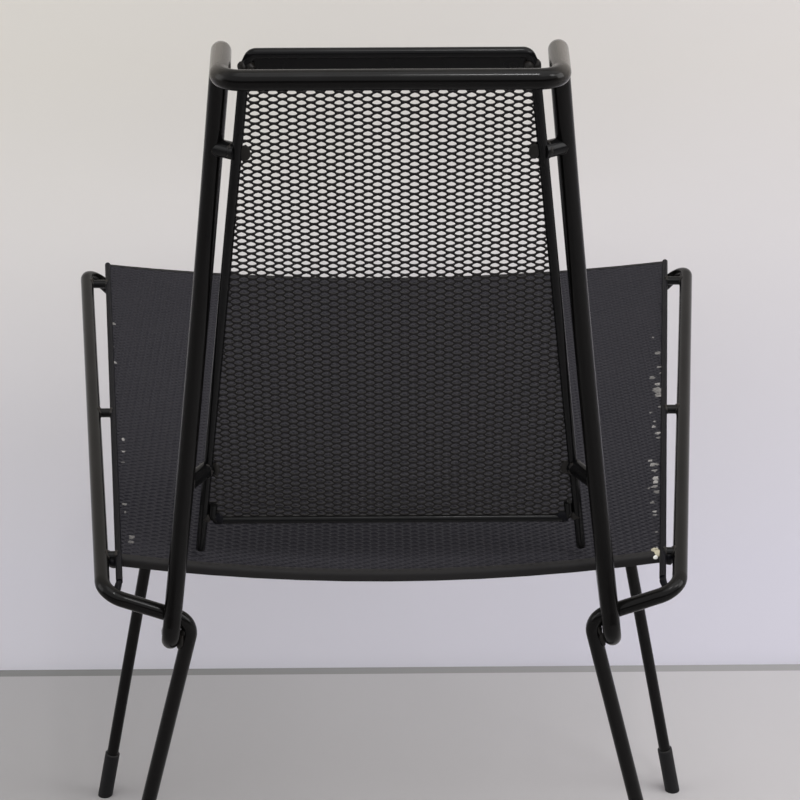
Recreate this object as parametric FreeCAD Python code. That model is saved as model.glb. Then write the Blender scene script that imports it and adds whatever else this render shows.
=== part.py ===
"""Dining chair of bent steel rod with a seat and a back of expanded metal.

Millimetres, +Z up. The sitter faces -Y and the sitter's left is +X. The origin is on the
floor, in the middle of the chair's outline. Each side has one rod that runs from the rear
foot over the seat's side to the front foot. One thicker rod makes the back frame and runs
forward under the seat. Seat and back are sheets in welded rims, held off the rods by pegs.
"""
import FreeCAD, Part

import math
import os

# Stock
side_rod_diameter = 9.0
back_rod_diameter = 10.6
back_rim_diameter = 5.6
seat_rim_diameter = 4.0
bottom_rail_diameter = 5.0
sheet_thickness = 1.2

# Side rods: half widths run from the chair's middle plane to the rod's centre line
bend_radius = 12.5
rear_corner_half_width = 167.0
front_corner_half_width = 221.4
rear_corner_y = 172.0
rear_corner_height = 407.4
seat_run_length = 413.0
seat_rise = 35.6
rear_knee_inset = 50.4
rear_knee_forward = 8.0
rear_knee_drop = 23.7
front_hook_inset = 17.0
front_hook_back = 7.5
front_hook_drop = 14.5
front_knee_inset = 74.6
front_knee_back = 39.6
front_knee_drop = 39.0
rear_foot_half_width = 214.1
rear_foot_y = 179.2
front_foot_half_width = 229.0
front_foot_y = -203.0

# Back rod
frame_top_half_width = 86.5
frame_top_y = 177.7
frame_top_height = 734.7
frame_top_run = 56.6
crossbar_half_width = 84.0
frame_bend_radius = 11.5
upright_bow = 22.0
upright_bow_radius = 690.0
weld_gap = 0.25
run_below_rear_knee = 12.3
run_below_front_knee = 12.5
run_past_front_leg = 13.0

# Back panel, which leans back
panel_lean_degrees = 10.134
panel_foot_y = 127.1
panel_foot_height = 418.0
back_bar_top_below_frame_top = 11.2
back_bar_top_half_width = 74.8
back_bar_end_height = 411.0
back_bar_end_half_width = 113.6
top_rail_over_bar_top = 9.5
top_rail_half_width = 71.0
top_rail_start = 2.0
top_rail_bend_radius = 4.2
top_strip_width = 19.5
top_strip_thickness = 2.0
bottom_rail_over_bar_end = 21.5
bottom_rail_return = 12.0
bottom_rail_bend_radius = 4.5

# Seat panel: distances ahead of the rear corners of the side rods, along the slope, and
# insets from the side rods' centre lines to the rim bars'
seat_rear_edge_ahead = 35.3
seat_front_edge_ahead = 419.6
seat_rear_inset = 10.3
seat_front_inset = 15.8
seat_sag = 12.5
seat_lip_height = 6.0
seat_lip_width = 4.6
seat_lip_thickness = 1.6
seat_lip_bend_radius = 2.6
seat_lip_sections = 13
seat_bar_past_lip = 23.5

# Pegs between the panels and the rods
seat_peg_diameter = 6.0
front_peg_ahead = 387.5
middle_peg_ahead = 204.5
rear_peg_ahead = 38.5
back_peg_diameter = 9.5
upper_peg_below_bar_top = 47.0
lower_peg_over_bar_end = 59.0

# Foot caps
cap_height = 40.0
cap_wall = 1.25
cap_floor = 6.0
cap_rim_chamfer = 0.5


def vector(x, y, z):
    """A point or a direction."""
    return FreeCAD.Vector(x, y, z)


def unit(direction):
    """The direction with a length of one."""
    return direction * (1 / direction.Length)


def between(start, end, share):
    """The point that lies the given share of the way from start to end."""
    return start + (end - start) * share


def at_height(start, end, height):
    """The point of the line through start and end that lies at the height."""
    return between(start, end, (height - start.z) / (end.z - start.z))


def mirrored(point):
    """The same point on the chair's other side."""
    return vector(-point.x, point.y, point.z)


def other_side(shape):
    """The same shape on the chair's other side."""
    return shape.mirror(vector(0, 0, 0), vector(1, 0, 0))


def bent_line(points, radii):
    """Straight runs through the points, joined by tangent arcs of the given radii."""
    edges = []
    start = points[0]
    for before, corner, after, radius in zip(points, points[1:], points[2:], radii):
        along = unit(corner - before)
        away = unit(after - corner)
        reach = radius * math.tan(along.getAngle(away) / 2)
        arc_start = corner - along * reach
        arc_end = corner + away * reach
        arc_middle = corner + unit(away - along) * (math.hypot(radius, reach) - radius)
        edges.append(Part.LineSegment(start, arc_start).toShape())
        edges.append(Part.Arc(arc_start, arc_middle, arc_end).toShape())
        start = arc_end
    edges.append(Part.LineSegment(start, points[-1]).toShape())
    return Part.Wire(edges)


def rod_along(path, diameter):
    """A round rod with the path as its centre line."""
    first = path.Edges[0]
    begin = first.valueAt(first.FirstParameter)
    heading = first.tangentAt(first.FirstParameter)
    ring = Part.Wire(Part.Circle(begin, heading, diameter / 2).toShape())
    rod = path.makePipeShell([ring], True, False)
    share = rod.Volume / (math.pi * diameter ** 2 / 4 * path.Length)
    print("rod of %.1f mm, volume over section times length %.5f" % (path.Length, share))
    return rod


def round_bar(start, end, diameter):
    """A straight round bar from start to end."""
    return Part.makeCylinder(diameter / 2, (end - start).Length, start, end - start)


def without(shape, *others):
    """The shape with the others' spaces cut out of it."""
    for other in others:
        shape = shape.cut(other)
    return max(shape.Solids, key=lambda solid: solid.Volume)


# Corner points of the left side rod's centre line
rear_corner = vector(rear_corner_half_width, rear_corner_y, rear_corner_height)
front_corner = rear_corner + vector(
    front_corner_half_width - rear_corner_half_width, -seat_run_length, seat_rise
)
rear_knee = rear_corner - vector(rear_knee_inset, rear_knee_forward, rear_knee_drop)
front_hook = front_corner + vector(-front_hook_inset, front_hook_back, -front_hook_drop)
front_knee = front_corner + vector(-front_knee_inset, front_knee_back, -front_knee_drop)
rear_foot = vector(rear_foot_half_width, rear_foot_y, 0)
front_foot = vector(front_foot_half_width, front_foot_y, 0)


def side_rod():
    """Rear leg, knee, corner, seat side, corner, hook, knee and front leg, all of one rod."""
    rear_end = at_height(rear_foot, rear_knee, cap_floor)
    front_end = at_height(front_foot, front_knee, cap_floor)
    corners = [rear_knee, rear_corner, front_corner, front_hook, front_knee]
    path = bent_line([rear_end] + corners + [front_end], [bend_radius] * len(corners))
    return rod_along(path, side_rod_diameter)


# The back rod lies against the outside of the rear legs and the inside of the front ones,
# just under their knees
rod_contact = (side_rod_diameter + back_rod_diameter) / 2


def beside_leg(foot, knee, drop, outward):
    """The centre of the run under the seat where it touches a leg, outward being 1 or -1."""
    on_leg = at_height(foot, knee, knee.z - drop)
    splay = math.atan2(foot.x - knee.x, knee.z)
    return on_leg + vector(outward * (rod_contact + weld_gap) / math.cos(splay), 0, 0)


run_rear = beside_leg(rear_foot, rear_knee, run_below_rear_knee, 1)
run_front = beside_leg(front_foot, front_knee, run_below_front_knee, -1)


def on_run(y):
    """The point of the run under the seat at a distance behind the chair's middle."""
    return between(run_front, run_rear, (y - run_front.y) / (run_rear.y - run_front.y))


def back_rod_path():
    """Crossbar, two short top runs, two bowed uprights, two elbows and two runs under the seat."""
    knee_arm_share = (run_rear.x - rear_knee.x) / (rear_corner.x - rear_knee.x)
    knee_arm = between(rear_knee, rear_corner, knee_arm_share)
    elbow = on_run(knee_arm.y + rod_contact + weld_gap)
    run_end = on_run(run_front.y - run_past_front_leg)
    top = vector(frame_top_half_width, frame_top_y, frame_top_height)
    bow = between(elbow, top, 1 / 2) - vector(0, 2 * upright_bow, 0)
    crossbar_end = vector(crossbar_half_width, frame_top_y + frame_top_run, frame_top_height)
    half = [run_end, elbow, bow, top, crossbar_end]
    radii = [frame_bend_radius, upright_bow_radius, frame_bend_radius, frame_bend_radius]
    return bent_line(half + [mirrored(point) for point in half[::-1]], radii + radii[::-1])


back_path = back_rod_path()
lean = math.radians(panel_lean_degrees)
panel_normal = vector(0, math.cos(lean), -math.sin(lean))


def on_back(half_width, height):
    """The point of the back panel's middle plane at a half width and a height."""
    return vector(half_width, panel_foot_y + (height - panel_foot_height) * math.tan(lean), height)


back_bar_top_height = frame_top_height - back_bar_top_below_frame_top
top_rail_height = back_bar_top_height + top_rail_over_bar_top
bottom_rail_height = back_bar_end_height + bottom_rail_over_bar_end
back_bar_end = on_back(back_bar_end_half_width, back_bar_end_height)
back_bar_top = on_back(back_bar_top_half_width, back_bar_top_height)


def back_side_bar():
    """Rim bar of the back panel, cut off square below the bottom rail."""
    return round_bar(back_bar_end, back_bar_top, back_rim_diameter)


def back_top_rail():
    """Rail over the panel's top, bent down at both ends onto the tops of the rim bars."""
    rise = back_bar_top + unit(back_bar_top - back_bar_end) * top_rail_start
    ear = on_back(top_rail_half_width, top_rail_height)
    half = [back_bar_top, rise, ear]
    points = half + [mirrored(point) for point in half[::-1]]
    return rod_along(bent_line(points, [top_rail_bend_radius] * 4), back_rim_diameter)


def back_bottom_rail():
    """Thinner rail between the rim bars, with both ends bent up along the bars."""
    beside_bar = (back_rim_diameter + bottom_rail_diameter) / 2
    corner = at_height(back_bar_end, back_bar_top, bottom_rail_height) - vector(beside_bar, 0, 0)
    end = corner + unit(back_bar_top - back_bar_end) * bottom_rail_return
    path = bent_line([end, corner, mirrored(corner), mirrored(end)], [bottom_rail_bend_radius] * 2)
    return rod_along(path, bottom_rail_diameter)


def back_plate(low, high, thickness):
    """A flat plate in the panel's plane between the rim bars' centre lines and two heights."""
    low_corner = at_height(back_bar_end, back_bar_top, low)
    high_corner = at_height(back_bar_end, back_bar_top, high)
    corners = [low_corner, high_corner, mirrored(high_corner), mirrored(low_corner), low_corner]
    face = Part.Face(Part.makePolygon(corners))
    face.translate(panel_normal * (-thickness / 2))
    return face.extrude(panel_normal * thickness)


# The seat's plane holds the seat runs of both side rods
seat_slope = math.atan2(seat_rise, seat_run_length)
seat_ahead = vector(0, -math.cos(seat_slope), math.sin(seat_slope))
seat_normal = vector(0, math.sin(seat_slope), math.cos(seat_slope))


def on_seat(half_width, ahead, lift=0):
    """A point by its half width, its distance ahead of the rear corners and its height over the plane."""
    return vector(half_width, rear_corner_y, rear_corner_height) + seat_ahead * ahead + seat_normal * lift


def beside_seat(ahead):
    """The centre of the side rod at a distance ahead of its rear corner."""
    return between(rear_corner, front_corner, ahead / math.hypot(seat_run_length, seat_rise))


def seat_edge_half_width(ahead):
    """Half width of the seat panel, from one rim bar's centre line to the chair's middle."""
    share = (ahead - seat_rear_edge_ahead) / (seat_front_edge_ahead - seat_rear_edge_ahead)
    inset = seat_rear_inset + (seat_front_inset - seat_rear_inset) * share
    return beside_seat(ahead).x - inset


def seat_side_bar():
    """Straight rim bar under the seat panel's side, running out behind the rear lip."""
    rear = seat_rear_edge_ahead - seat_bar_past_lip
    front = seat_front_edge_ahead - seat_lip_thickness
    start = on_seat(seat_edge_half_width(rear), rear)
    end = on_seat(seat_edge_half_width(front), front)
    return round_bar(start, end, seat_rim_diameter)


def seat_lip(edge_ahead, inward):
    """Folded lip along an edge: a flange in the sheet's plane and a skirt turned down from it."""
    top = seat_lip_thickness / 2
    radius = seat_lip_bend_radius
    inner_radius = radius - seat_lip_thickness
    skirt = top - seat_lip_height

    def profile_point(depth, lift):
        return on_seat(0, edge_ahead + inward * depth, lift - seat_sag)

    def fold(fold_radius):
        """Start, middle and end of the fold, from the flange to the skirt."""
        corner_share = fold_radius * math.sin(math.pi / 4)
        return [
            profile_point(radius, top - radius + fold_radius),
            profile_point(radius - corner_share, top - radius + corner_share),
            profile_point(radius - fold_radius, top - radius),
        ]

    outer = fold(radius)
    inner = fold(inner_radius)
    flange_end_top = profile_point(seat_lip_width, top)
    flange_end_low = profile_point(seat_lip_width, top - seat_lip_thickness)
    skirt_end_out = profile_point(0, skirt)
    skirt_end_in = profile_point(seat_lip_thickness, skirt)
    edges = [
        Part.LineSegment(flange_end_top, outer[0]).toShape(),
        Part.Arc(*outer).toShape(),
        Part.LineSegment(outer[2], skirt_end_out).toShape(),
        Part.LineSegment(skirt_end_out, skirt_end_in).toShape(),
        Part.LineSegment(skirt_end_in, inner[2]).toShape(),
        Part.Arc(*inner[::-1]).toShape(),
        Part.LineSegment(inner[0], flange_end_low).toShape(),
        Part.LineSegment(flange_end_low, flange_end_top).toShape(),
    ]
    half_width = seat_edge_half_width(edge_ahead)
    dish_radius = (half_width ** 2 + seat_sag ** 2) / (2 * seat_sag)
    centre = on_seat(0, edge_ahead, dish_radius - seat_sag)
    half_angle = math.degrees(math.asin(half_width / dish_radius))
    sections = []
    for number in range(seat_lip_sections):
        section = Part.Wire(edges)
        share = number / (seat_lip_sections - 1)
        section.rotate(centre, seat_ahead, half_angle * (2 * share - 1))
        sections.append(section)
    return Part.makeLoft(sections, True, True)


def seat_sheet():
    """Dished sheet between the lips, ruled from the rear arc to the flatter front one."""
    profiles = []
    for ahead in (seat_rear_edge_ahead + seat_lip_width, seat_front_edge_ahead - seat_lip_width):
        half_width = seat_edge_half_width(ahead)
        top, low = sheet_thickness / 2, -sheet_thickness / 2
        upper = [on_seat(-half_width, ahead, top), on_seat(0, ahead, top - seat_sag), on_seat(half_width, ahead, top)]
        lower = [on_seat(half_width, ahead, low), on_seat(0, ahead, low - seat_sag), on_seat(-half_width, ahead, low)]
        edges = [
            Part.Arc(*upper).toShape(),
            Part.LineSegment(upper[2], lower[0]).toShape(),
            Part.Arc(*lower).toShape(),
            Part.LineSegment(lower[2], upper[0]).toShape(),
        ]
        profiles.append(Part.Wire(edges))
    return Part.makeLoft(profiles, True, True)


def seat_peg(ahead, rod, bar):
    """Short bar from the side rod to the seat's rim bar, coped to both."""
    end = on_seat(seat_edge_half_width(ahead), ahead)
    return without(round_bar(beside_seat(ahead), end, seat_peg_diameter), rod, bar)


def back_peg(height, rod, bar):
    """Short bar from the back rod's upright to the back's rim bar, coped to both."""
    level = Part.makePlane(
        2 * frame_top_height, 2 * frame_top_height, vector(0, -frame_top_height, height)
    )
    start = back_path.section(level).Vertexes[0].Point
    end = at_height(back_bar_end, back_bar_top, height)
    return without(round_bar(start, end, back_peg_diameter), rod, bar)


def foot_cap(foot, knee, rod):
    """Sleeve on the end of a leg, closed and cut level at the floor."""
    diameter = side_rod_diameter + 2 * cap_wall
    rim = at_height(foot, knee, cap_height)
    under_floor = at_height(foot, knee, -diameter)
    sleeve = round_bar(under_floor, rim, diameter)
    rim_edge = max(sleeve.Edges, key=lambda edge: edge.CenterOfMass.z)
    sleeve = sleeve.makeChamfer(cap_rim_chamfer, [rim_edge])
    ground = Part.makeBox(4 * diameter, 4 * diameter, 2 * diameter)
    ground.translate(foot - vector(2 * diameter, 2 * diameter, 2 * diameter))
    return without(sleeve, ground, rod)


rod = side_rod()
frame = rod_along(back_path, back_rod_diameter)
back_bar = back_side_bar()
back_bars = [back_bar, other_side(back_bar)]
seat_bar = seat_side_bar()
seat_bars = [seat_bar, other_side(seat_bar)]
top_rail = back_top_rail()
bottom_rail = back_bottom_rail()
strip_low = top_rail_height - top_strip_width
upper_peg_height = back_bar_top_height - upper_peg_below_bar_top
lower_peg_height = back_bar_end_height + lower_peg_over_bar_end
top_strip = without(
    back_plate(strip_low, top_rail_height, top_strip_thickness), top_rail, *back_bars
)
back_sheet = without(
    back_plate(bottom_rail_height, strip_low, sheet_thickness), bottom_rail, *back_bars
)
front_lip = without(seat_lip(seat_front_edge_ahead, -1), *seat_bars)
rear_lip = without(seat_lip(seat_rear_edge_ahead, 1), *seat_bars)
sheet = without(seat_sheet(), *seat_bars)

nodes = {
    "back_rod": frame,
    "back_top_rail": top_rail,
    "back_top_strip": top_strip,
    "back_bottom_rail": bottom_rail,
    "back_mesh": back_sheet,
    "seat_front_lip": front_lip,
    "seat_rear_lip": rear_lip,
    "seat_mesh": sheet,
}
left_pieces = {
    "side_rod": rod,
    "back_side_bar": back_bar,
    "seat_side_bar": seat_bar,
    "upper_back_peg": back_peg(upper_peg_height, frame, back_bar),
    "lower_back_peg": back_peg(lower_peg_height, frame, back_bar),
    "front_seat_peg": seat_peg(front_peg_ahead, rod, seat_bar),
    "middle_seat_peg": seat_peg(middle_peg_ahead, rod, seat_bar),
    "rear_seat_peg": seat_peg(rear_peg_ahead, rod, seat_bar),
    "front_foot_cap": foot_cap(front_foot, front_knee, rod),
    "rear_foot_cap": foot_cap(rear_foot, rear_knee, rod),
}
for name, piece in left_pieces.items():
    nodes["left_" + name] = piece
    nodes["right_" + name] = other_side(piece)

# The origin goes under the middle of the whole outline
outline = Part.makeCompound(list(nodes.values())).optimalBoundingBox(False)
to_middle = vector(0, -(outline.YMin + outline.YMax) / 2, 0)
print("outline %.2f %.2f %.2f, moved by %.3f" % (outline.XLength, outline.YLength, outline.ZLength, to_middle.y))

os.makedirs("parts", exist_ok=True)
for name, piece in nodes.items():
    solid = piece.Solids[0]
    solid.translate(to_middle)
    print("%-24s valid %s solids %d volume %.1f" % (name, solid.isValid(), len(piece.Solids), solid.Volume))
    solid.exportStep("parts/" + name + ".step")
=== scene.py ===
from math import radians

import bmesh
import bpy
import numpy as np
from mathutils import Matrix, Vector


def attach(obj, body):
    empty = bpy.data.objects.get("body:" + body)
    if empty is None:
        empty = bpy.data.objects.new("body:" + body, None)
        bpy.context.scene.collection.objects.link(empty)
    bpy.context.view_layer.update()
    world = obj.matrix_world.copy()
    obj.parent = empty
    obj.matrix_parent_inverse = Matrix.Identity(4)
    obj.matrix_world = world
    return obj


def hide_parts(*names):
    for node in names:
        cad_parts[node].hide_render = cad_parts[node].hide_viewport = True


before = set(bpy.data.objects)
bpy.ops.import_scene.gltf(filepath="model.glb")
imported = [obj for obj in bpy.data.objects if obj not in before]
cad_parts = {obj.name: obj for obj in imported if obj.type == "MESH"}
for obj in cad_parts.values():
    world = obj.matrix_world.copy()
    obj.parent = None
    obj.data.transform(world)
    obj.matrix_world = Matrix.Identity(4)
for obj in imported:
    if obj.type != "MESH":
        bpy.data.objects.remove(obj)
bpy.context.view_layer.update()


# The place
# A pale wall stands 14 cm ahead of the front feet and meets a duller floor at a thin joint, a
# dark strip of painted shade in the gap between them. Wall and floor show from the room's side
# only, so that the chair can be looked at from beyond the wall and from below.
wall_y = -0.385
wall_height = 3.0
joint_width = 0.0105
joint_lift = 0.0005
stage_reach = 4.0
# Places of the colours among a mixing node's inputs, and of the mixed one among its outputs
first_colour, second_colour, mixed_colour = 6, 7, 2


def node(tree, kind, sockets=None, **settings):
    """A shader node with its settings, each socket given a value or the output that feeds it."""
    made = tree.nodes.new("ShaderNode" + kind)
    for name, value in settings.items():
        setattr(made, name, value)
    for name, value in (sockets or {}).items():
        if isinstance(value, bpy.types.NodeSocket):
            tree.links.new(value, made.inputs[name])
        else:
            made.inputs[name].default_value = value
    return made


def ramp(tree, value, start, end, low=0.0, high=1.0):
    """Goes evenly from low to high while the value goes from start to end, and stays there."""
    sockets = {"Value": value, "From Min": start, "From Max": end, "To Min": low, "To Max": high}
    return node(tree, "MapRange", sockets).outputs["Result"]


def noise(tree, scale, detail=2.0, roughness=0.5):
    """Cloudy noise over the piece's own place, with about as many lumps a metre as the scale says."""
    place = node(tree, "TexCoord").outputs["Object"]
    sockets = {"Vector": place, "Scale": scale, "Detail": detail, "Roughness": roughness}
    return node(tree, "TexNoise", sockets).outputs["Fac"]


def maths(tree, operation, *values, held=False):
    """One sum, product or the like of the values, held between 0 and 1 if asked."""
    made = node(tree, "Math", dict(enumerate(values)), operation=operation, use_clamp=held)
    return made.outputs[0]


def mixed(tree, share, first, second, way="MIX"):
    """The first colour, with the second laid over it by the share."""
    sockets = {"Factor": share, first_colour: first, second_colour: second}
    made = node(tree, "Mix", sockets, data_type="RGBA", blend_type=way)
    return made.outputs[mixed_colour]


def place_parts(tree):
    """The piece's own place as outputs named X, Y and Z."""
    place = node(tree, "TexCoord").outputs["Object"]
    return node(tree, "SeparateXYZ", {"Vector": place}).outputs


def new_material(name):
    """An empty node material, its tree and its output node."""
    material = bpy.data.materials.new(name)
    material.use_nodes = True
    material.node_tree.nodes.clear()
    return material, material.node_tree, material.node_tree.nodes.new("ShaderNodeOutputMaterial")


def mesh_piece(name, points, faces, material, smooth=True):
    """A mesh object at the origin, made of points and of faces that all have as many corners."""
    mesh = bpy.data.meshes.new(name)
    mesh.from_pydata(np.asarray(points).tolist(), [], np.asarray(faces).tolist())
    if smooth:
        mesh.shade_smooth()
    else:
        mesh.shade_flat()
    mesh.materials.append(material)
    piece = bpy.data.objects.new(name, mesh)
    bpy.context.scene.collection.objects.link(piece)
    return piece


def stage_paint(name, shaded_side, lit_side, roughness, low=(1, 1, 1, 1)):
    """Matt paint that lets all through from behind.

    It goes from the lit side's colour at the right of the picture to the shaded side's at its
    left, a painted falloff of the light across the stage, a little uneven, and is multiplied by
    the low colour near the floor.
    """
    material, tree, output = new_material(name)
    place = place_parts(tree)
    rightward = ramp(tree, place["X"], start=0.25, end=-0.3)
    uneven = ramp(tree, noise(tree, 3.0), start=0.2, end=0.8, low=-0.08, high=0.08)
    share = maths(tree, "ADD", uneven, rightward, held=True)
    colour = mixed(tree, share, shaded_side, lit_side)
    near_floor = ramp(tree, place["Z"], start=0.55, end=0.1)
    colour = mixed(tree, near_floor, colour, low, way="MULTIPLY")
    matt = {"Base Color": colour, "Roughness": roughness, "Specular IOR Level": 0.15}
    paint = node(tree, "BsdfPrincipled", matt)
    clear = node(tree, "BsdfTransparent")
    behind = node(tree, "NewGeometry").outputs["Backfacing"]
    shown = node(tree, "MixShader", {0: behind, 1: paint.outputs[0], 2: clear.outputs[0]})
    tree.links.new(shown.outputs[0], output.inputs["Surface"])
    return material


def strip_on_stage(name, start_y, end_y, height, paint):
    """A level rectangle as long as the stage is wide, between two distances behind the middle."""
    corners = [(-stage_reach, start_y), (stage_reach, start_y), (stage_reach, end_y), (-stage_reach, end_y)]
    return mesh_piece(name, [(x, y, height) for x, y in corners], [(0, 1, 2, 3)], paint)


# Painted light: the floor is painted lighter at the right of the picture, where more light falls, and the
# wall a little paler at its left, where less falls.
wall_paint = stage_paint(
    "wall_paint", (0.722, 0.696, 0.645, 1), (0.690, 0.663, 0.638, 1), 0.7, low=(1.0, 1.02, 1.18, 1)
)
floor_paint = stage_paint("floor_paint", (0.325, 0.318, 0.315, 1), (0.425, 0.412, 0.413, 1), 0.5)
# The joint's dark colour is painted shade of the gap under the wall.
joint_shade_paint = stage_paint("joint_shade_paint", (0.185, 0.185, 0.178, 1), (0.275, 0.27, 0.265, 1), 0.8)
floor = strip_on_stage("floor", -stage_reach, stage_reach, 0.0, floor_paint)
wall_corners = [
    (-stage_reach, wall_y, 0.0),
    (-stage_reach, wall_y, wall_height),
    (stage_reach, wall_y, wall_height),
    (stage_reach, wall_y, 0.0),
]
wall = mesh_piece("wall", wall_corners, [(0, 1, 2, 3)], wall_paint)
joint = strip_on_stage("wall_joint", wall_y, wall_y + joint_width, joint_lift, joint_shade_paint)


# The camera and the light
# The camera looks down over the backrest from behind the chair. A broad lamp overhead, a tall
# one at the right of the picture and a weaker one at its left light the chair softly, and two
# small ones draw the bright lines along the rods.
camera_data = bpy.data.cameras.new("camera")
camera_data.lens = 101.04
camera_data.sensor_width = 36.0
camera = bpy.data.objects.new("camera", camera_data)
camera.location = (0.0075, 1.3011, 1.0688)
camera.rotation_euler = (radians(64.429), radians(0.080), radians(179.322))
bpy.context.scene.collection.objects.link(camera)
bpy.context.scene.camera = camera
bpy.context.scene.view_settings.view_transform = "Standard"


def soft_light(name, place, towards, width, height, watts):
    """A rectangular area lamp that faces a point."""
    lamp = bpy.data.lights.new(name, "AREA")
    lamp.shape = "RECTANGLE"
    lamp.size = width
    lamp.size_y = height
    lamp.energy = watts
    made = bpy.data.objects.new(name, lamp)
    made.location = place
    made.rotation_euler = (Vector(towards) - Vector(place)).to_track_quat("-Z", "Y").to_euler()
    bpy.context.scene.collection.objects.link(made)


soft_light("ceiling_light", (-0.6, 0.3, 2.9), (0.0, 0.0, 0.4), width=3.4, height=2.6, watts=34)
soft_light("window_light", (-2.4, 0.5, 1.5), (0.0, 0.0, 0.5), width=1.2, height=1.6, watts=23)
soft_light("fill_light", (2.4, 0.2, 1.2), (0.0, 0.0, 0.4), width=1.6, height=1.6, watts=14)
soft_light("side_lamp", (-1.50, 1.10, 2.15), (0.1, 0.2, 0.4), width=0.5, height=0.6, watts=9)
soft_light("ceiling_bulb", (-0.21, 1.1, 2.9), (0.0, 0.2, 0.5), width=0.12, height=0.20, watts=8)

# The world is pale, with a dark band low down behind the camera that the rods reflect. The
# camera itself sees an even grey.
room_pale = (1.03, 1.02, 1.04, 1)
room_dark = (0.03, 0.03, 0.034, 1)
room_seen = (0.66, 0.655, 0.66, 1)
world = bpy.data.worlds.new("room")
bpy.context.scene.world = world
world.use_nodes = True
world_tree = world.node_tree
world_tree.nodes.clear()
camera_sees = node(world_tree, "LightPath").outputs["Is Camera Ray"]
heading = node(world_tree, "SeparateXYZ", {"Vector": node(world_tree, "TexCoord").outputs["Generated"]})
rearward = ramp(world_tree, heading.outputs["Y"], start=0.1, end=0.35)
level = ramp(world_tree, heading.outputs["Z"], start=0.21, end=0.13)
dark_band = maths(world_tree, "MULTIPLY", rearward, level)
room_tone = mixed(world_tree, dark_band, room_pale, room_dark)
room_tone = mixed(world_tree, camera_sees, room_tone, room_seen)
room_light = node(world_tree, "Background", {"Color": room_tone, "Strength": 1.0})
world_output = world_tree.nodes.new("ShaderNodeOutputWorld")
world_tree.links.new(room_light.outputs[0], world_output.inputs["Surface"])


# Side rods and back rod
# Three bent steel rods carry the chair. They are sprayed black and half gloss, with a fine
# orange peel, handling marks, dust on top and small chips down to the steel. The tops of the
# loops at the back are painted a lighter brown: rubbed paint, and a painted sheen of light.
bare_steel = (0.45, 0.43, 0.39, 1)
pale_dust = (0.24, 0.23, 0.21, 1)
# Rubbed paint and a painted sheen of light on the tops of the loops
rubbed_and_sheen_brown = (0.094, 0.085, 0.074, 1)
peel_depth = 0.0002


def group(name, inputs, outputs):
    """A node group with float or vector inputs and its outputs, its input node and output node."""
    tree = bpy.data.node_groups.new(name, "ShaderNodeTree")
    for label, kind, value in inputs:
        made = tree.interface.new_socket(label, in_out="INPUT", socket_type="NodeSocket" + kind)
        made.default_value = value
    for label, kind in outputs:
        tree.interface.new_socket(label, in_out="OUTPUT", socket_type="NodeSocket" + kind)
    return tree, tree.nodes.new("NodeGroupInput"), tree.nodes.new("NodeGroupOutput")


def worn_finish():
    """Masks of a worn painted surface: smudges, dust, chips and a bump height.

    Dust lies on upward faces where the smudges are strong. A chip is where fine noise plus
    coarse noise passes a threshold. The height is the orange peel's noise less the chips.
    """
    tree, given, result = group(
        "worn_finish",
        [("Dust", "Float", 0.3), ("Chips", "Float", 0.3), ("Grain", "Float", 900.0)],
        [("Smudge", "Float"), ("Dust", "Float"), ("Chip", "Float"), ("Height", "Float")],
    )
    smudge = noise(tree, 22.0, detail=5.0, roughness=0.6)
    peel = noise(tree, given.outputs["Grain"])
    specks = maths(tree, "ADD", noise(tree, 260.0), noise(tree, 34.0, detail=1.0))
    threshold = ramp(tree, given.outputs["Chips"], start=0.0, end=1.0, low=1.62, high=1.18)
    chip = ramp(tree, maths(tree, "SUBTRACT", specks, threshold), start=0.0, end=0.02)
    facing = node(tree, "NewGeometry").outputs["Normal"]
    upward = node(tree, "SeparateXYZ", {"Vector": facing}).outputs["Z"]
    lying = ramp(tree, upward, start=0.35, end=1.0)
    drift = ramp(tree, smudge, start=0.3, end=0.75)
    dust = maths(tree, "MULTIPLY", maths(tree, "MULTIPLY", lying, drift), given.outputs["Dust"])
    height = maths(tree, "MULTIPLY_ADD", chip, -0.6, peel)
    for label, value in (("Smudge", smudge), ("Dust", dust), ("Chip", chip), ("Height", height)):
        tree.links.new(value, result.inputs[label])
    return tree


worn = worn_finish()


def rubbed_and_sheen_loops(tree, below, tone):
    """The tone where the loops at the top are rubbed and take a painted sheen.

    It is laid by the product of three ramps: away from the middle, upwards, and ahead.
    """
    place = place_parts(tree)
    aside = ramp(tree, maths(tree, "ABSOLUTE", place["X"]), start=0.078, end=0.088)
    high = ramp(tree, place["Z"], start=0.728, end=0.738)
    ahead = ramp(tree, place["Y"], start=0.244, end=0.222)
    rubbed_and_sheen = maths(tree, "MULTIPLY", maths(tree, "MULTIPLY", aside, high), ahead)
    return mixed(tree, rubbed_and_sheen, below, tone)


def bared_metal_and_glints(tree, below, tone):
    """Bare metal, patched with paler primer, whose paleness is also a painted glint.

    It shows where the piece's own mark plus half of a fine noise is over 0.7 to 0.8.
    """
    mark = node(tree, "Attribute", attribute_name="bare_and_glint").outputs["Fac"]
    ragged = maths(tree, "MULTIPLY_ADD", noise(tree, 700.0), 0.5, mark)
    bared_and_glinting = ramp(tree, ragged, start=0.70, end=0.80)
    patches = ramp(tree, noise(tree, 60.0, detail=1.0), start=0.45, end=0.62)
    paler = tuple(2.2 * part for part in tone[:3]) + (1,)
    return mixed(tree, bared_and_glinting, below, mixed(tree, patches, tone, paler))


def touched_spots(tree, below, spots):
    """Each spot's colour within its radius of its centre.

    The distance has two fifths of the radius times a fine noise added, so the edge is ragged.
    """
    for centre, radius, tone in spots:
        place = node(tree, "TexCoord").outputs["Object"]
        away = node(tree, "VectorMath", {0: place, 1: centre}, operation="DISTANCE").outputs["Value"]
        ragged = maths(tree, "MULTIPLY_ADD", noise(tree, 500.0), 0.4 * radius, away)
        inner = ramp(tree, ragged, start=1.25 * radius, end=1.1 * radius)
        below = mixed(tree, inner, below, tone)
    return below


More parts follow.
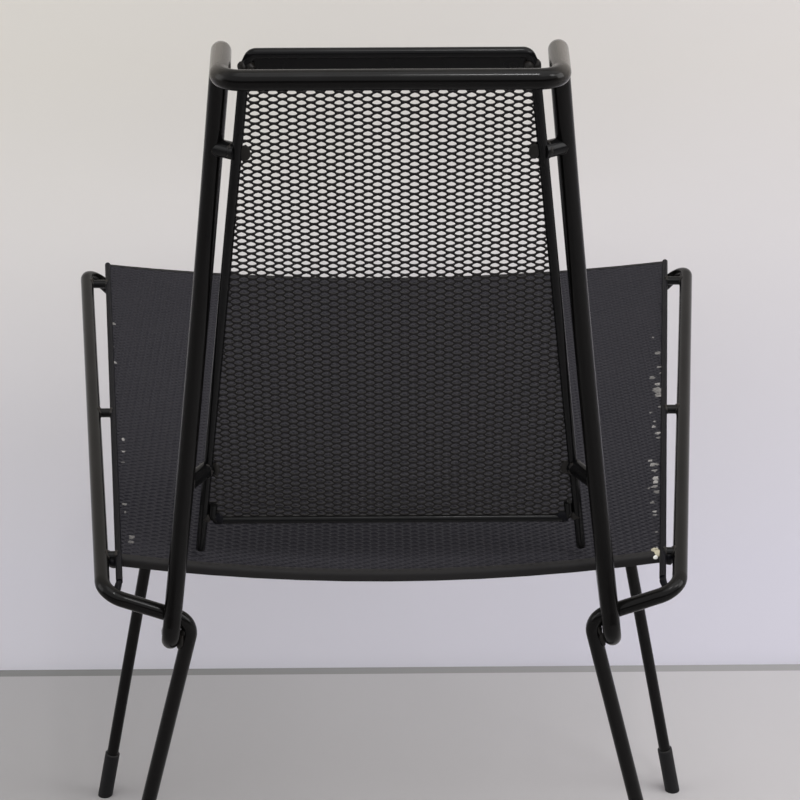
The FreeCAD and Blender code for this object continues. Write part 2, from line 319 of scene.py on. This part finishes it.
def painted(name, colour, roughness, specular, dust, chips, bump, grain=900.0, dirt=pale_dust,
            loops=None, bare_and_glint=None, spots=()):
    """Black paint whose colour, roughness and bump follow the worn finish.

    The colour fades by a quarter with the smudges, then dust, chips and the piece's own marks
    lie over it. The roughness swings about its value with the smudges.
    """
    material, tree, output = new_material(name)
    finish = node(tree, "Group", {}, node_tree=worn)
    finish.inputs["Dust"].default_value = dust
    finish.inputs["Chips"].default_value = chips
    finish.inputs["Grain"].default_value = grain
    marks = finish.outputs
    faded = tuple(1.25 * part + 0.001 for part in colour[:3]) + (1,)
    tone = mixed(tree, marks["Smudge"], colour, faded)
    tone = mixed(tree, marks["Dust"], tone, dirt)
    tone = mixed(tree, marks["Chip"], tone, bare_steel)
    if loops is not None:
        tone = rubbed_and_sheen_loops(tree, tone, loops)
    if bare_and_glint is not None:
        tone = bared_metal_and_glints(tree, tone, bare_and_glint)
    tone = touched_spots(tree, tone, spots)
    rough = ramp(tree, marks["Smudge"], start=0.25, end=0.75, low=roughness - 0.07, high=roughness + 0.09)
    bumped = node(tree, "Bump", {"Height": marks["Height"], "Strength": bump, "Distance": peel_depth})
    paint = node(tree, "BsdfPrincipled", {
        "Base Color": tone,
        "Roughness": rough,
        "Metallic": marks["Chip"],
        "Specular IOR Level": specular,
        "Normal": bumped.outputs["Normal"],
    })
    tree.links.new(paint.outputs[0], output.inputs["Surface"])
    return material


def repaint(names, paint):
    """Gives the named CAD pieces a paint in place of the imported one."""
    for name in names:
        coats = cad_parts[name].data.materials
        coats.clear()
        coats.append(paint)


# The loops' tone is rubbing and a painted sheen of light on their tops.
frame_paint = painted(
    "frame_paint", (0.0024, 0.0022, 0.0021, 1),
    roughness=0.15, specular=0.138, dust=0.02, chips=0.18, bump=0.05, loops=rubbed_and_sheen_brown,
)
repaint(("left_side_rod", "right_side_rod", "back_rod"), frame_paint)


# Foot caps
# Moulded sleeves of black plastic pushed over the ends of the four legs. The moulding is
# dull and finely grained, and dust sits in it.
cap_plastic = painted(
    "cap_plastic", (0.0060, 0.0060, 0.0065, 1),
    roughness=0.55, specular=0.20, dust=0.12, chips=0.0, bump=0.5, grain=1500.0,
)
repaint([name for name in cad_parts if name.endswith("foot_cap")], cap_plastic)


# Back rim and pegs
# Round bars, a bent top rail over a flat strip and a thinner bottom rail frame the sheet of
# the back. Short pegs hold the back and the seat off the rods. All have the rods' paint, a
# little duller.
rim_paint = painted(
    "rim_paint", (0.0028, 0.0028, 0.0030, 1),
    roughness=0.19, specular=0.13, dust=0.02, chips=0.20, bump=0.08,
)
rim_ends = ("back_side_bar", "rail", "strip", "peg")
repaint([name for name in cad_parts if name.endswith(rim_ends)], rim_paint)


# Seat rim
# Thin round bars run along the seat's sides, and folded lips close its front and its rear.
# Their paint is flat, and at the right rear corner cream primer shows, with a white dot of painted
# highlight.
cream, pale_cream, highlight_white = (0.38, 0.35, 0.26, 1), (0.40, 0.37, 0.27, 1), (0.90, 0.90, 0.84, 1)
corner_spots = [
    ((-0.1572, 0.1350, 0.4104), 0.0024, cream),
    ((-0.1588, 0.1382, 0.4100), 0.0024, pale_cream),
    # A painted highlight: a near-white dot of glint on the corner.
    ((-0.15705, 0.1408, 0.4087), 0.0014, highlight_white),
]
lip_paint = painted(
    "lip_paint", (0.0135, 0.0128, 0.0130, 1),
    roughness=0.60, specular=0.13, dust=0.02, chips=0.15, bump=0.2, spots=corner_spots,
)
seat_bar_paint = painted(
    "seat_bar_paint", (0.0036, 0.0036, 0.0050, 1),
    roughness=0.38, specular=0.07, dust=0.01, chips=0.12, bump=0.15,
)
repaint(("seat_front_lip", "seat_rear_lip"), lip_paint)
repaint(("left_seat_side_bar", "right_seat_side_bar"), seat_bar_paint)


# Back sheet
# Expanded metal: a steel sheet slit in staggered rows and pulled open, so that lens-shaped
# holes stand between turned strands. It is welded to the rim bars and leans back with them.
# It is laid in two lengths.
long_way, short_way = 0.00981, 0.00409
strand = 0.0009
round_points = 12
bulge_power = 1.3
microns = 1e6
least_area, least_width, least_move = 1e-11, 1e-4, 1e-9
sideways = np.array([1.0, 0.0, 0.0])


def merged(points):
    """The different points, to a thousandth of a millimetre, and each old point's new number."""
    steps, same = np.unique(np.round(points * microns).astype(np.int64), axis=0, return_inverse=True)
    return steps / microns, same.reshape(-1)


def halved(quads):
    """Two triangles for each face of four corners."""
    return np.concatenate([quads[:, [0, 1, 2]], quads[:, [0, 2, 3]]])


def solid_ones(points, faces):
    """The triangles with an area, as those pressed flat on an edge or a pole have none."""
    sides = points[faces[:, 1:]] - points[faces[:, :1]]
    return faces[np.linalg.norm(np.cross(sides[:, 0], sides[:, 1]), axis=1) > least_area]


def hole_pattern(length, upper, lower, tilt):
    """Twelve points round one hole's share of sheet, then twelve round the hole: across, up and lift.

    The share is a rhombus with its points evenly spaced along its sides. The hole is a lens
    with its points at even angles: across they follow the cosine, and up the sine to the power
    1.3, times the hole's upper or lower height. They leave the sheet by the tilt times their
    share of the greater of those heights, which turns the strands.
    """
    step = np.arange(round_points)
    half_round, quarter = round_points // 2, round_points // 4
    upward = step < half_round
    along = 1 - np.abs((step / quarter + 2) % 4 - 2)
    rhombus_u = along * long_way / 2
    rhombus_v = (1 - np.abs(along)) * short_way / 2 * np.where(upward, 1, -1)
    angle = np.pi * step / half_round
    bulge = np.abs(np.sin(angle)) ** bulge_power
    lens_u = np.cos(angle) * length / 2
    lens_v = np.where(upward, bulge * upper, -bulge * lower)
    lens_lift = tilt * lens_v / max(upper, lower)
    return (
        np.concatenate([rhombus_u, lens_u]),
        np.concatenate([rhombus_v, lens_v]),
        np.concatenate([np.zeros(round_points), lens_lift]),
    )


def edge_wall(points, faces, below):
    """Triangles that close the sheet's outer edge.

    They join each edge that one triangle alone has to the points below it.
    """
    edges = np.concatenate([faces[:, [0, 1]], faces[:, [1, 2]], faces[:, [2, 0]]])
    _, where, times = np.unique(np.sort(edges, 1), axis=0, return_index=True, return_counts=True)
    rim = edges[where[times == 1]]
    rim = rim[(below[rim] >= 0).all(1)]
    start, end = rim.T
    closing = [np.stack([end, start, below[start]], 1), np.stack([end, below[start], below[end]], 1)]
    return solid_ones(points, np.concatenate(closing))


def expanded_metal(columns, rows, shift, place, inside, hole):
    """Points and triangles of expanded metal over whole columns and rows of holes.

    Every second column stands half a row further on. Each point of the pattern is laid
    with place(u, v, lift), half a strand over and under the sheet, after inside(u, v) has
    moved those past the sheet's edge onto it. Walls line the holes and close the edge.
    """
    pattern_u, pattern_v, pattern_lift = hole_pattern(*hole)
    i, j = [grid.ravel() for grid in np.meshgrid(columns, rows, indexing="ij")]
    centre_u = (i + shift[0]) * long_way / 2
    centre_v = (j + (i % 2) / 2 + shift[1]) * short_way
    u = pattern_u[None] + centre_u[:, None]
    v = pattern_v[None] + centre_v[:, None]
    lift = np.tile(pattern_lift, (len(i), 1))
    held_u, held_v = inside(u, v)
    kept = (np.ptp(held_u, axis=1) > least_width) & (np.ptp(held_v, axis=1) > least_width)
    moved = (np.abs(held_u - u) + np.abs(held_v - v) > least_move)[kept]
    u, v, lift = held_u[kept], held_v[kept], lift[kept]
    over, under = place(u, v, lift + strand / 2), place(u, v, lift - strand / 2)
    points, same = merged(np.concatenate([over, under], 1).reshape(-1, 3))

    step = np.arange(round_points)
    after = (step + 1) % round_points
    lens, low_rhombus, low_lens, all_points = round_points * np.arange(1, 5)
    upper_faces = np.stack([step, after, after + lens, step + lens], 1)
    lower_faces = np.stack([step + low_rhombus, step + low_lens, after + low_lens, after + low_rhombus], 1)
    hole_faces = np.stack([step + lens, after + lens, after + low_lens, step + low_lens], 1)
    first = np.arange(len(u))[:, None, None] * all_points
    sheet = (first + np.concatenate([upper_faces, lower_faces])[None]).reshape(-1, 4)
    walls = (first + hole_faces[None])[~(moved[:, lens:] & moved[:, lens + after])]
    faces = solid_ones(points, halved(same[np.concatenate([sheet, walls])]))

    numbers = same.reshape(-1, all_points)
    below = np.full(len(points), -1)
    below[numbers[:, :low_rhombus]] = numbers[:, low_rhombus:]
    return points, np.concatenate([faces, edge_wall(points, faces, below)])


lean = radians(10.134)
back_up = np.array([0.0, np.sin(lean), np.cos(lean)])
back_out = np.array([0.0, np.cos(lean), -np.sin(lean)])
back_foot = np.array([0.0, 0.131085, 0.418])
bottom_rail_height, strip_foot_height = 0.4325, 0.7155
bar_end_height, bar_top_height = 0.411, 0.7235
bar_end_half, bar_top_half = 0.1136, 0.0748
back_low = (bottom_rail_height - back_foot[2]) / np.cos(lean)
back_high = (strip_foot_height - back_foot[2]) / np.cos(lean)


def on_back(u, v, lift):
    """A point of the leaning panel: v up from its foot, lifted towards the rear, and u to the side."""
    level = back_foot + np.multiply.outer(v, back_up) + np.multiply.outer(lift, back_out)
    return level + np.multiply.outer(u, sideways)


def inside_back(u, v):
    """Points held between the rim bars' centre lines and between the rail and the strip."""
    v = np.clip(v, back_low, back_high)
    height = back_foot[2] + v * np.cos(lean)
    narrowing = (bar_top_half - bar_end_half) * (height - bar_end_height) / (bar_top_height - bar_end_height)
    half = bar_end_half + narrowing
    return np.clip(u, -half, half), v


back_mesh_paint = painted(
    "back_mesh_paint", (0.0078, 0.0070, 0.0072, 1),
    roughness=0.34, specular=0.16, dust=0.02, chips=0.10, bump=0.15,
)
back_hole = (0.0053, 0.00176, 0.00092, -0.0004)
back_columns = np.arange(-26, 27)
back_shift = (0.36, -0.32)
back_breaks = [0, 37, 80]
for number, (first_row, end_row) in enumerate(zip(back_breaks, back_breaks[1:]), 1):
    back_rows = np.arange(first_row, end_row)
    points, faces = expanded_metal(back_columns, back_rows, back_shift, on_back, inside_back, back_hole)
    back_part = mesh_piece("back_expanded_metal_%d" % number, points, faces, back_mesh_paint, smooth=False)
    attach(back_part, "root")
    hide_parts("back_mesh")


# Seat sheet
# The same expanded metal, dished across between the folded lips at the front and the rear.
# Its holes are lower and its strands turned further. It is laid in three lengths.
rear_corner = np.array([0.1670, 0.175985, 0.4074])
seat_length, seat_rise, seat_spread = 0.413, 0.0356, 0.0544
rear_inset, front_inset_more = 0.0103, 0.0055
seat_rear_edge, seat_front_edge = 0.0353, 0.4196
under_lip = 0.003
seat_sag = 0.0125
seat_run = np.hypot(seat_length, seat_rise)
seat_ahead = np.array([0.0, -seat_length, seat_rise]) / seat_run
seat_up = np.array([0.0, seat_rise, seat_length]) / seat_run
seat_start = np.array([0.0, rear_corner[1], rear_corner[2]])


def seat_half(ahead):
    """Half width of the seat between its rim bars' centre lines: the rods' less an inset that grows."""
    share = (ahead - seat_rear_edge) / (seat_front_edge - seat_rear_edge)
    return rear_corner[0] + seat_spread * ahead / seat_run - (rear_inset + front_inset_more * share)


def on_seat(u, v, lift):
    """A point of the seat, v ahead of the rear corners.

    It is dished by the sag times one less the square of its share of the half width.
    """
    lift = lift - seat_sag * (1 - (u / seat_half(v)) ** 2)
    level = seat_start + np.multiply.outer(v, seat_ahead) + np.multiply.outer(lift, seat_up)
    return level + np.multiply.outer(u, sideways)


def inside_seat(u, v):
    """Points held between the rim bars' centre lines and a little way under the lips."""
    v = np.clip(v, seat_rear_edge + under_lip, seat_front_edge - under_lip)
    half = seat_half(v)
    return np.clip(u, -half, half), v


# Worn spots along the seat's sides where the paint has come off, painted pale as glints off their edges:
# across, ahead and radius.
bare_and_glint_spots = [
    (0.1929, 0.3267, 0.0016), (0.1904, 0.2935, 0.0012), (0.1864, 0.2710, 0.0016),
    (0.1713, 0.1717, 0.0011), (0.1699, 0.1570, 0.0012), (0.1687, 0.1437, 0.0011),
    (0.1635, 0.0951, 0.0016), (0.1625, 0.0860, 0.0009), (0.1557, 0.0600, 0.0018),
    (0.1557, 0.0540, 0.0018), (-0.1851, 0.3030, 0.0013), (-0.1854, 0.2803, 0.0020),
    (-0.1846, 0.2609, 0.0018), (-0.1846, 0.2520, 0.0014), (-0.1783, 0.2473, 0.0019),
    (-0.1806, 0.2380, 0.0018), (-0.1798, 0.2299, 0.0036), (-0.1800, 0.2230, 0.0026),
    (-0.1793, 0.2076, 0.0016), (-0.1720, 0.2013, 0.0011), (-0.1728, 0.1900, 0.0013),
    (-0.1722, 0.1830, 0.0015), (-0.1735, 0.1745, 0.0018), (-0.1735, 0.1690, 0.0015),
    (-0.1654, 0.1420, 0.0014), (-0.1662, 0.1370, 0.0016), (-0.1695, 0.1371, 0.0014),
    (-0.1668, 0.1300, 0.0017), (-0.1664, 0.1207, 0.0019), (-0.1660, 0.1160, 0.0017),
    (-0.1655, 0.1110, 0.0018), (-0.1652, 0.1050, 0.0019), (-0.1609, 0.1104, 0.0010),
    (-0.1615, 0.0933, 0.0015), (-0.1616, 0.0830, 0.0014), (-0.1612, 0.0790, 0.0014),
    (-0.1607, 0.0600, 0.0012), (-0.1588, 0.0430, 0.0010),
]


def mark_bare_and_glint(piece, points, spots):
    """Writes one minus the distance to the nearest spot over twice its radius as an attribute."""
    across, ahead = points[:, 0], (points - seat_start) @ seat_ahead
    nearest = np.zeros(len(points))
    for spot_across, spot_ahead, radius in spots:
        away = np.hypot(across - spot_across, ahead - spot_ahead) / (2 * radius)
        nearest = np.maximum(nearest, 1 - away)
    piece.data.attributes.new("bare_and_glint", "FLOAT", "POINT").data.foreach_set("value", nearest)


# The pale spots along the seat's sides are worn paint and painted glints.
seat_mesh_paint = painted(
    "seat_mesh_paint", (0.0092, 0.0085, 0.0122, 1),
    roughness=0.40, specular=0.17, dust=0.02, chips=0.10, bump=0.15,
    bare_and_glint=(0.12, 0.115, 0.11, 1), spots=corner_spots,
)
seat_hole = (0.0050, 0.00130, 0.00095, -0.0008)
seat_columns = np.arange(-44, 45)
seat_shift = (0.0, 0.0)
seat_breaks = [8, 40, 71, 104]
for number, (first_row, end_row) in enumerate(zip(seat_breaks, seat_breaks[1:]), 1):
    seat_rows = np.arange(first_row, end_row)
    points, faces = expanded_metal(seat_columns, seat_rows, seat_shift, on_seat, inside_seat, seat_hole)
    seat_part = mesh_piece("seat_expanded_metal_%d" % number, points, faces, seat_mesh_paint, smooth=False)
    mark_bare_and_glint(seat_part, points, bare_and_glint_spots)
    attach(seat_part, "root")
    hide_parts("seat_mesh")


# Welds
# Small lumpy beads of weld close every joint of pegs, bars and rods. They are painted over
# with the rest and browned by rust where the paint is thin. A dark lump at each bottom rail's
# end is painted shade where the rail meets the side bar.
rust_dirt = (0.10, 0.055, 0.03, 1)
weld_paint = painted(
    "weld_paint", (0.0085, 0.0075, 0.0065, 1),
    roughness=0.45, specular=0.22, dust=0.10, chips=0.45, bump=0.5, grain=600.0, dirt=rust_dirt,
)
# The second paint is the seat bars'; the lump in it at the bottom rail's end is painted shade.
rusty, bar_black_and_shade = 0, 1
steepest_share = 0.95
weld_points, weld_faces, weld_tones = [], [], []


def full_turn(count):
    """Angles of one turn, the last written as the first, so that a shape closes on itself."""
    angles = np.linspace(0, 2 * np.pi, count)
    angles[-1] = 0
    return angles


def add_weld(points, tone=rusty):
    """Takes a grid of points, closed both ways or ending in poles, into the weld mesh."""
    rows, columns = points.shape[:2]
    i, j = np.meshgrid(np.arange(rows - 1), np.arange(columns - 1), indexing="ij")
    first = (i * columns + j).ravel()
    flat, same = merged(points.reshape(-1, 3))
    quads = same[np.stack([first, first + columns, first + columns + 1, first + 1], 1)]
    faces = solid_ones(flat, halved(quads))
    weld_faces.append(faces + sum(len(done) for done in weld_points))
    weld_points.append(flat)
    weld_tones.append(np.full(len(faces), tone))


def unit(vector):
    """The vector at length one."""
    return np.asarray(vector, float) / np.linalg.norm(vector)


def weld_bead(place, axis, along, ring, bead, bar, turn):
    """A bead round a peg's end on a bar: a ring whose tube swells in two waves.

    Its points lean back along the peg as the bar's surface falls away at its sides, by the
    bar's radius less the height of its circle there.
    """
    axis = unit(axis)
    side = unit(np.cross(axis, along))
    along = np.cross(side, axis)
    around, tube = np.meshgrid(full_turn(33), full_turn(9), indexing="ij")
    thick = bead * (1 + 0.22 * np.sin(5 * around + turn) + 0.15 * np.sin(11 * around + 2.3 * turn))
    furthest = steepest_share * bar
    fall = bar - np.sqrt(bar ** 2 - np.minimum(ring * np.sin(around), furthest) ** 2)
    deepest = bar - np.sqrt(bar ** 2 - min(ring, furthest) ** 2)
    out = np.cos(around)[..., None] * along + np.sin(around)[..., None] * side
    reach = ring + thick * np.cos(tube)
    rise = fall - deepest + thick * np.sin(tube)
    add_weld(np.asarray(place) + reach[..., None] * out + rise[..., None] * axis)


def weld_lump(place, long, wide, out, turn, tone=rusty):
    """A lump of weld: an ellipsoid on three half axes.

    Its radius swells in waves, which the sine of the angle from its pole fades out there.
    """
    down, around = np.meshgrid(np.linspace(0, np.pi, 11), full_turn(19), indexing="ij")
    waves = 0.13 * np.sin(3 * around + turn) + 0.09 * np.sin(5 * down + 2 * turn) * np.sin(2 * around)
    swell = 1 + waves * np.sin(down)
    parts = [np.cos(down), np.sin(down) * np.cos(around), np.sin(down) * np.sin(around)]
    half_axes = [np.asarray(axis) for axis in (long, wide, out)]
    lump = sum((swell * part)[..., None] * axis for part, axis in zip(parts, half_axes))
    add_weld(np.asarray(place) + lump, tone)


# Back pegs on the left: height, and how far aside and behind their outer and inner ends are
back_pegs = [
    (0.6765, (0.0915, 0.1697), (0.0805, 0.1775)),
    (0.4700, (0.1168, 0.1593), (0.1061, 0.1404)),
]
back_bar_line = unit((0.0388, -0.0560, -0.3125))
# Seat pegs on the left: how far aside their outer and inner ends are, then behind and height
seat_pegs = [
    (0.2145, 0.2025, -0.2101, 0.4407),
    (0.1905, 0.1811, -0.0278, 0.4250),
    (0.1687, 0.1617, 0.1376, 0.4107),
]
# Radii of a bead's ring and its tube, and of what it sits on, where 0.02 is nearly flat
upright_bead = (0.0044, 0.0006, 0.0053)
back_bar_bead = (0.0036, 0.0013, 0.02)
side_rod_bead = (0.0029, 0.0010, 0.0045)
seat_bar_bead = (0.0024, 0.0010, 0.02)
back_bead_off, seat_bead_off = 0.0026, 0.0012
# The patch of weld on the back sheet: where it is from the peg's inner end, and its half axes
patch_inward, patch_behind = 0.0045, 0.0008
patch_up, patch_across, patch_thick = 0.0046, 0.0027, 0.0016
# Lumps on the left: middle, three half axes, turn of the waves, and paint. They are two at the
# top rail's ends, two at the bottom rail's, three at the knee, one on the seat bar's rear end
# and one under the rear seat peg. The second at the bottom rail's, in the seat bars' black, is
# painted shade.
weld_and_shade_lumps = [
    ((0.0757, 0.1868, 0.7260), (0, 0.0006, 0.0028), (0.0024, 0, 0), (0, 0.0032, -0.0006), 1.3, rusty),
    ((0.0716, 0.1880, 0.7262), (0, 0.0004, 0.0026), (0.0026, 0, 0), (0, 0.0027, -0.0005), 2.3, rusty),
    ((0.1092, 0.1342, 0.4345), (0, 0.0004, 0.0032), (0.0030, 0, 0), (0, 0.0030, -0.0005), 0.4, rusty),
    # Painted shade: a dark lump where the bottom rail meets the side bar.
    ((0.1018, 0.1342, 0.4336), (0, 0.0004, 0.0040), (0.0035, 0, 0), (0, 0.0026, -0.0005), 0.9, bar_black_and_shade),
    ((0.1240, 0.1710, 0.3712), (0.0010, 0, -0.0048), (0.0020, 0, 0), (0, 0.0020, 0), 1.7, rusty),
    ((0.1300, 0.1705, 0.3800), (0.0010, -0.0006, -0.0062), (0.0042, 0.0016, 0), (0, 0.0030, 0), 1.1, rusty),
    ((0.1210, 0.1695, 0.3775), (0.0012, -0.0006, -0.0048), (0.0030, 0.0010, 0), (0, 0.0026, 0), 2.1, rusty),
    ((0.1589, 0.1672, 0.4073), (0.0004, 0.0042, -0.0012), (0.0021, 0, 0), (0, 0.0004, 0.0021), 1.5, bar_black_and_shade),
    ((0.1650, 0.1376, 0.4070), (0.0036, 0, 0), (0, 0.0042, 0), (0, 0, 0.0042), 0.6, bar_black_and_shade),
]


def back_peg_welds(side, mirror):
    """A bead at each end of the back's pegs and a patch of weld where they meet the sheet.

    The last value of each weld turns its waves.
    """
    for number, (height, outer, inner) in enumerate(back_pegs):
        rod_end, bar_end = np.array([*outer, height]), np.array([*inner, height])
        out = unit(rod_end - bar_end)
        line = back_bar_line * mirror
        weld_bead(rod_end * mirror, out * mirror, line, *upright_bead, 1.0 + number + side)
        on_bar = (bar_end + back_bead_off * out) * mirror
        weld_bead(on_bar, -out * mirror, line, *back_bar_bead, 2.7 * number + side)
        patch = (bar_end - patch_inward * sideways + patch_behind * back_out) * mirror
        long, thick = patch_up * back_up * mirror, patch_thick * back_out * mirror
        weld_lump(patch, long, patch_across * sideways, thick, 0.7 + number * side)


def seat_peg_welds(side, mirror):
    """A bead at each end of the seat's pegs."""
    for number, (outer, inner, behind, height) in enumerate(seat_pegs):
        rod_end = np.array([outer, behind, height]) * mirror
        on_bar = np.array([inner + seat_bead_off, behind, height]) * mirror
        weld_bead(rod_end, (side, 0, 0), seat_ahead, *side_rod_bead, 0.9 * number + side)
        weld_bead(on_bar, (-side, 0, 0), seat_ahead, *seat_bar_bead, 1.9 * number - side)


for side in (1, -1):
    mirror = np.array([side, 1, 1])
    back_peg_welds(side, mirror)
    seat_peg_welds(side, mirror)
    for middle, long, wide, out, turn, tone in weld_and_shade_lumps:
        weld_lump(middle * mirror, long * mirror, wide * mirror, out * mirror, turn * side, tone)

weld_beads = mesh_piece("weld_beads", np.concatenate(weld_points), np.concatenate(weld_faces), weld_paint)
weld_beads.data.materials.append(seat_bar_paint)
weld_beads.data.polygons.foreach_set("material_index", np.concatenate(weld_tones))
turned = bmesh.new()
turned.from_mesh(weld_beads.data)
bmesh.ops.recalc_face_normals(turned, faces=turned.faces)
turned.to_mesh(weld_beads.data)
turned.free()
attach(weld_beads, "root")
